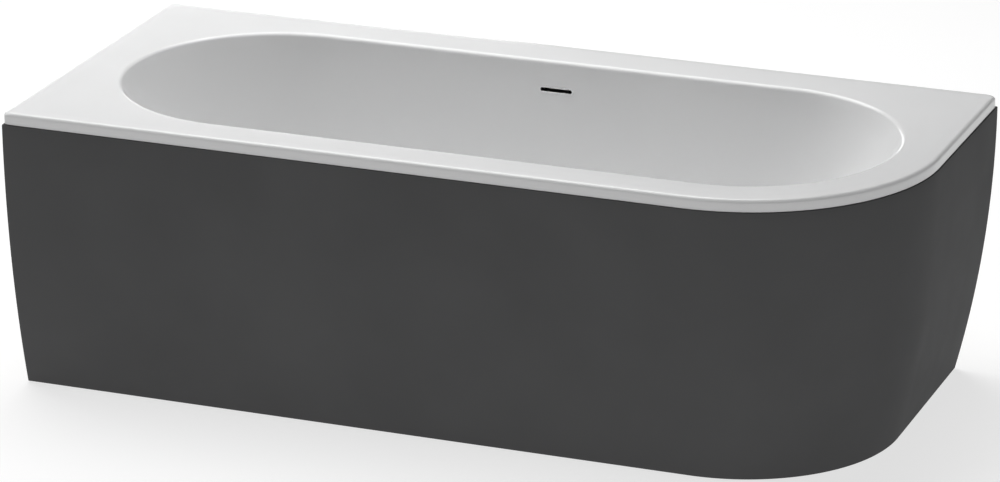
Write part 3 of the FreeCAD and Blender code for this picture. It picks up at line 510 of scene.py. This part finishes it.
# ------------------------------------------------------------------ skirt
def bow(z, offset=0.0):
    """How far in the skirt stands at a height: upright at its top, set back at its foot."""
    radius = (SKIRT_TOP ** 2 + SKIRT_FOOT_SETBACK ** 2) / (2 * SKIRT_FOOT_SETBACK)
    return radius - math.sqrt((radius - offset) ** 2 - (SKIRT_TOP - z) ** 2)


def skirt_wall_section():
    """The skirt's wall as (inset, height): up its face, over its shelf and down its back."""
    t, top, edge, foot_edge = SKIRT_WALL, SKIRT_TOP, SKIRT_EDGE, SKIRT_FOOT_EDGE
    shelf = LIP_SETBACK + ACRYLIC + SKIRT_PLAY + t
    outside = [(bow(z), z) for z in (foot_edge + (top - edge - foot_edge) * k / 28 for k in range(29))]
    crown = [(edge * (1 - math.cos(a)), top - edge * (1 - math.sin(a)))
             for a in (math.radians(90 * k / 5) for k in range(1, 6))]
    inside_z = (top - t - (top - 2 * t) * k / 20 for k in range(21))
    inner = [(bow(z, t), z) for z in inside_z]
    foot = bow(0) + SKIRT_FLANGE
    return outside + crown + [(shelf, top), (shelf, top - t)] + inner + [
        (foot, t), (foot, 0), (bow(0) + foot_edge, 0)]


def tongue_section():
    """The upright tongue behind the lip, rooted halfway into the skirt's shelf."""
    near = LIP_SETBACK + ACRYLIC + SKIRT_PLAY
    far = near + SKIRT_WALL
    low, high, edge = SKIRT_TOP - SKIRT_WALL * 0.5, SKIRT_TOP + TONGUE_HEIGHT, TONGUE_EDGE
    return [(near, low), (far, low), (far, high - edge), (far - edge, high),
            (near + edge, high), (near, high - edge)]


def end_section():
    """The flat flange that closes each end of the skirt."""
    heights = [(SKIRT_TOP - 0.002) * k / 20 for k in range(21)]
    face = [(bow(z) + 0.001, z) for z in heights]
    return face + [(bow(z, SKIRT_FLANGE), z) for z in reversed(heights)]


def flange_plate(bm, section, place, thickness):
    """A plate with the section's outline, laid where place puts each of its points."""
    rows = [ring(bm, [place(inset, z, d) for inset, z in section]) for d in (0, thickness)]
    skin(bm, rows)
    half = len(section) // 2
    for row in rows:
        for k in range(half - 1):
            bm.faces.new((row[k], row[k + 1], row[-k - 2], row[-k - 1]))


def graphite_skirt(material):
    bm = bmesh.new()
    sweeps = (("skirt_wall", skirt_wall_section(), 0.0), ("skirt_tongue", tongue_section(), TONGUE_SHORT))
    for name, section, short in sweeps:
        route = [(LEFT + short, FRONT, 0), (RIGHT, FRONT, 0), (RIGHT, BACK - short, 0)]
        bm.from_mesh(swept_panel(name, section, route, material))
    flange_plate(bm, end_section(), lambda i, z, d: Vector((LEFT + END_PLAY + d, FRONT + i, z)), SKIRT_WALL)
    flange_plate(bm, end_section(), lambda i, z, d: Vector((RIGHT - i, BACK - END_PLAY - d, z)), SKIRT_WALL)
    return finished("graphite_skirt", bm, material, replaces=("skirt_panel",))


# ------------------------------------------------------------------ materials
class Finish:
    """Builds one material's node tree around a Principled shader."""

    def __init__(self, name, **constants):
        self.material = bpy.data.materials.new(name)
        self.material.use_nodes = True
        self.nodes = self.material.node_tree.nodes
        self.links = self.material.node_tree.links
        self.nodes.clear()
        self.shader = self.nodes.new("ShaderNodeBsdfPrincipled")
        output = self.nodes.new("ShaderNodeOutputMaterial")
        self.links.new(self.shader.outputs["BSDF"], output.inputs["Surface"])
        self.place = self.nodes.new("ShaderNodeTexCoord").outputs["Object"]
        for socket, value in constants.items():
            self.shader.inputs[socket.replace("_", " ")].default_value = value

    def mapped(self, scale=(1, 1, 1), turn=(0, 0, 0)):
        node = self.nodes.new("ShaderNodeMapping")
        node.inputs["Scale"].default_value = scale
        node.inputs["Rotation"].default_value = turn
        self.links.new(self.place, node.inputs["Vector"])
        return node.outputs["Vector"]

    def noise(self, scale, detail=3.0, roughness=0.5, vector=None):
        node = self.nodes.new("ShaderNodeTexNoise")
        node.inputs["Scale"].default_value = scale
        node.inputs["Detail"].default_value = detail
        node.inputs["Roughness"].default_value = roughness
        self.links.new(vector or self.place, node.inputs["Vector"])
        return node.outputs["Fac"]

    def cells(self, scale, output="Distance"):
        node = self.nodes.new("ShaderNodeTexVoronoi")
        node.inputs["Scale"].default_value = scale
        self.links.new(self.place, node.inputs["Vector"])
        return node.outputs[output]

    def bands(self, scale, axis="X", distortion=0.0, detail=2.0, vector=None):
        node = self.nodes.new("ShaderNodeTexWave")
        node.bands_direction = axis
        node.inputs["Scale"].default_value = scale
        node.inputs["Distortion"].default_value = distortion
        node.inputs["Detail"].default_value = detail
        self.links.new(vector or self.place, node.inputs["Vector"])
        return node.outputs["Fac"]

    def ranged(self, value, low, high, new_low, new_high):
        node = self.nodes.new("ShaderNodeMapRange")
        limits = (("From Min", low), ("From Max", high), ("To Min", new_low), ("To Max", new_high))
        for socket, number in limits:
            node.inputs[socket].default_value = number
        self.links.new(value, node.inputs["Value"])
        return node.outputs["Result"]

    def ramp(self, value, stops):
        node = self.nodes.new("ShaderNodeValToRGB")
        elements = node.color_ramp.elements
        while len(elements) < len(stops):
            elements.new(0.5)
        for element, (position, colour) in zip(elements, stops):
            element.position = position
            element.color = (*colour, 1)
        self.links.new(value, node.inputs["Fac"])
        return node.outputs["Color"]

    def added(self, one, other, share=1.0):
        node = self.nodes.new("ShaderNodeMath")
        node.operation = "MULTIPLY_ADD"
        self.links.new(other, node.inputs[0])
        node.inputs[1].default_value = share
        self.links.new(one, node.inputs[2])
        return node.outputs["Value"]

    def colour(self, value):
        self.links.new(value, self.shader.inputs["Base Color"])
        return self

    def gloss(self, value):
        self.links.new(value, self.shader.inputs["Roughness"])
        return self

    def relief(self, height, strength, distance):
        node = self.nodes.new("ShaderNodeBump")
        node.inputs["Strength"].default_value = strength
        node.inputs["Distance"].default_value = distance
        self.links.new(height, node.inputs["Height"])
        self.links.new(node.outputs["Normal"], self.shader.inputs["Normal"])
        return self


def white_acrylic():
    f = Finish("white_acrylic", IOR=1.49, Specular_IOR_Level=0.36, Coat_Weight=0.16, Coat_Roughness=0.08)
    cloud = f.noise(3.0, 4.0)
    f.colour(f.ramp(cloud, [(0.3, (0.815, 0.817, 0.820)), (0.7, (0.830, 0.831, 0.832))]))
    f.gloss(f.ranged(f.noise(9.0, 5.0), 0.3, 0.7, 0.17, 0.23))
    return f.relief(f.noise(60.0, 2.0), 0.02, 0.0005).material


def graphite_acrylic():
    f = Finish("graphite_acrylic", IOR=1.49, Specular_IOR_Level=0.02)
    cloud = f.added(f.noise(5.0, 4.0), f.noise(700.0, 1.0), 0.25)
    f.colour(f.ramp(cloud, [(0.35, (0.093, 0.093, 0.0945)), (0.85, (0.104, 0.104, 0.1055))]))
    f.gloss(f.ranged(f.noise(14.0, 4.0), 0.3, 0.7, 0.56, 0.64))
    return f.relief(f.noise(900.0, 2.0), 0.06, 0.0004).material


def glass_fibre():
    f = Finish("glass_fibre", IOR=1.5)
    strands = None
    for k in range(3):
        lying = f.mapped((1, 1, 1), (0.5 * k + 0.2, 0.9 * k, 1.05 * k))
        layer = f.bands(55.0 + 9 * k, "X", 26.0, 2.0, lying)
        strands = layer if strands is None else f.added(strands, layer, 0.8)
    tones = [(0.3, (0.42, 0.40, 0.31)), (0.8, (0.62, 0.60, 0.49)), (1.0, (0.72, 0.70, 0.60))]
    f.colour(f.ramp(strands, tones))
    f.gloss(f.ranged(f.noise(25.0, 4.0), 0.3, 0.7, 0.28, 0.55))
    return f.relief(f.added(strands, f.noise(18.0, 4.0), 1.5), 0.55, 0.0022).material


def pressed_board():
    f = Finish("pressed_board", IOR=1.4)
    chips = f.cells(170.0, output="Color")
    tone = f.nodes.new("ShaderNodeSeparateColor")
    f.links.new(chips, tone.inputs["Color"])
    mixed = f.added(tone.outputs["Red"], f.noise(40.0, 4.0), 0.5)
    tones = [(0.2, (0.30, 0.19, 0.10)), (0.7, (0.56, 0.41, 0.24)), (1.0, (0.70, 0.56, 0.37))]
    f.colour(f.ramp(mixed, tones))
    f.gloss(f.ranged(f.noise(60.0), 0.3, 0.7, 0.65, 0.85))
    return f.relief(mixed, 0.35, 0.0008).material


def sawn_timber(name, lying):
    """Softwood batten with its grain along X or Y."""
    f = Finish(name, IOR=1.4)
    stretch = (1.2, 14.0, 14.0) if lying == "X" else (14.0, 1.2, 14.0)
    grain_space = f.mapped(stretch)
    rings = f.bands(1.6, "Z", 5.0, 3.0, grain_space)
    fibre = f.noise(9.0, 8.0, 0.6, grain_space)
    mixed = f.added(rings, fibre, 0.9)
    tones = [(0.25, (0.40, 0.25, 0.12)), (0.75, (0.66, 0.48, 0.28)), (1.0, (0.76, 0.60, 0.38))]
    f.colour(f.ramp(mixed, tones))
    f.gloss(f.ranged(fibre, 0.3, 0.7, 0.6, 0.8))
    return f.relief(fibre, 0.4, 0.0007).material


def galvanised_steel():
    f = Finish("galvanised_steel", Metallic=1.0)
    spangle = f.cells(95.0, output="Color")
    tone = f.nodes.new("ShaderNodeSeparateColor")
    f.links.new(spangle, tone.inputs["Color"])
    mixed = f.added(tone.outputs["Green"], f.noise(220.0, 3.0), 0.3)
    f.colour(f.ramp(mixed, [(0.1, (0.42, 0.43, 0.45)), (1.0, (0.66, 0.67, 0.69))]))
    f.gloss(f.ranged(tone.outputs["Blue"], 0.0, 1.0, 0.34, 0.52))
    return f.relief(mixed, 0.08, 0.0003).material


def plated_steel(name, low, high, rough):
    """Zinc or bright plating with fine turning marks."""
    f = Finish(name, Metallic=1.0)
    f.colour(f.ramp(f.noise(140.0, 4.0), [(0.3, low), (0.7, high)]))
    marks = f.bands(900.0, "Z", 1.0)
    f.gloss(f.ranged(f.added(f.noise(90.0, 3.0), marks, 0.3), 0.3, 1.0, rough * 0.8, rough * 1.25))
    return f.relief(marks, 0.10, 0.0001).material


def moulded_plastic(name, low, high, rough, grain=420.0):
    f = Finish(name, IOR=1.47)
    f.colour(f.ramp(f.noise(22.0, 4.0), [(0.3, low), (0.7, high)]))
    f.gloss(f.ranged(f.noise(70.0, 3.0), 0.3, 0.7, rough * 0.88, rough * 1.12))
    return f.relief(f.noise(grain, 2.0), 0.12, 0.0004).material


def bright_chrome():
    f = Finish("bright_chrome", Metallic=1.0)
    f.colour(f.ramp(f.noise(60.0, 3.0), [(0.3, (0.80, 0.81, 0.82)), (0.7, (0.86, 0.87, 0.88))]))
    f.gloss(f.ranged(f.noise(45.0, 5.0), 0.3, 0.7, 0.05, 0.11))
    return f.relief(f.noise(30.0), 0.02, 0.0003).material


def make_materials():
    zinc = plated_steel("zinc_plate", (0.52, 0.51, 0.47), (0.68, 0.66, 0.60), 0.32)
    return {
        "acrylic_white": white_acrylic(),
        "graphite_acrylic": graphite_acrylic(),
        "fibreglass": glass_fibre(),
        "chipboard": pressed_board(),
        "timber": sawn_timber("timber_along", "X"),
        "timber_across": sawn_timber("timber_across", "Y"),
        "zinc_steel": galvanised_steel(),
        "zinc_screws": zinc,
        "zinc_rod": plated_steel("zinc_rod", (0.50, 0.47, 0.38), (0.66, 0.62, 0.50), 0.30),
        "spring_steel": plated_steel("spring_steel", (0.46, 0.46, 0.48), (0.60, 0.60, 0.62), 0.28),
        "brass": plated_steel("turned_brass", (0.62, 0.46, 0.20), (0.78, 0.61, 0.30), 0.26),
        "chrome": bright_chrome(),
        "white_plastic": moulded_plastic("white_plastic", (0.76, 0.76, 0.74), (0.82, 0.82, 0.80), 0.42),
        "grey_plastic": moulded_plastic("grey_plastic", (0.26, 0.26, 0.27), (0.32, 0.32, 0.33), 0.45),
        "grey_hose": moulded_plastic("grey_hose", (0.34, 0.35, 0.36), (0.42, 0.43, 0.44), 0.40),
        "black_plastic": moulded_plastic("black_plastic", (0.014, 0.014, 0.015), (0.026, 0.026, 0.027), 0.48),
        # shade_black is painted shade: a near-black, unreflective finish for the overflow slot's throat,
        # standing in for its shadow.
        "shade_black": moulded_plastic("shade_black", (0.003, 0.003, 0.003), (0.005, 0.005, 0.005),
                                       0.9, 900.0),
        "rubber": moulded_plastic("rubber", (0.018, 0.018, 0.018), (0.034, 0.034, 0.034), 0.72, 900.0),
    }


def dress_nodes(materials):
    """Gives every carried-over node the finish that its record slot names."""
    slots = {p["node"]: p["material_slot"] for p in frame["record"]["subparts"]}
    for node, piece in frame["nodes"].items():
        slot = slots[node]
        if node in ("rim_batten_left", "rim_batten_right"):
            slot = "timber_across"
        piece.data.materials.clear()
        piece.data.materials.append(materials[slot])


# ------------------------------------------------------------------ studio
def studio():
    bpy.ops.mesh.primitive_plane_add(size=80, location=(0, 0, -0.0005))
    floor = bpy.context.object
    floor.name = "studio_floor"
    f = Finish("studio_floor", Roughness=0.9, Specular_IOR_Level=0.1, Emission_Strength=0.70,
               Emission_Color=(1, 1, 1, 1))
    f.colour(f.ramp(f.noise(0.6, 2.0), [(0.3, (0.345, 0.345, 0.345)), (0.7, (0.355, 0.355, 0.355))]))
    floor.data.materials.append(f.material)
    world = bpy.data.worlds.new("studio_air")
    bpy.context.scene.world = world
    world.use_nodes = True
    sky = world.node_tree.nodes["Background"]
    sky.inputs["Color"].default_value = (1, 1, 1, 1)
    sky.inputs["Strength"].default_value = 0.07
    soft_light("overhead", (-1.3, 0.9, 4.0), (-0.5, 0.2, 0), 4.0, 4.0, 205)
    soft_light("front_fill", (2.4, -3.2, 4.8), (0.2, 0, 0.3), 2.6, 2.6, 16)
    soft_light("left_strip", (-6.6, 9.5, 1.5), (0, 0, 0.5), 6.0, 2.2, 110)


def soft_light(name, place, target, width, depth, power):
    data = bpy.data.lights.new(name, "AREA")
    data.shape = "RECTANGLE"
    data.size, data.size_y = width, depth
    data.energy = power
    light = bpy.data.objects.new(name, data)
    light.location = place
    light.rotation_euler = (Vector(target) - Vector(place)).to_track_quat("-Z", "Y").to_euler()
    bpy.context.collection.objects.link(light)


def camera():
    """A long lens, high over the free corner's side, turned a little to the left."""
    yaw, pitch, roll = -0.3689, 0.3478, -0.0036
    place = (3.0958, -8.0201, 3.4037)
    ahead = Vector((math.sin(yaw) * math.cos(pitch), math.cos(yaw) * math.cos(pitch), -math.sin(pitch)))
    right = Vector((math.cos(yaw), -math.sin(yaw), 0))
    above = right.cross(ahead)
    level = Matrix((right, above, -ahead)).transposed().to_4x4()
    data = bpy.data.cameras.new("camera")
    data.lens, data.sensor_width = 175.0, 36.0
    data.clip_end = 200
    eye = bpy.data.objects.new("camera", data)
    eye.matrix_world = Matrix.Translation(place) @ level @ Matrix.Rotation(roll, 4, "Z")
    bpy.context.collection.objects.link(eye)
    bpy.context.scene.camera = eye


materials = make_materials()
dress_nodes(materials)
ribbed_hose(materials["grey_hose"])
rod_threads(materials["zinc_rod"])
white_shell(materials["acrylic_white"])
graphite_skirt(materials["graphite_acrylic"])
slot_bezel(materials["acrylic_white"], materials["shade_black"])
studio()
camera()
bpy.context.scene.view_settings.view_transform = "Standard"
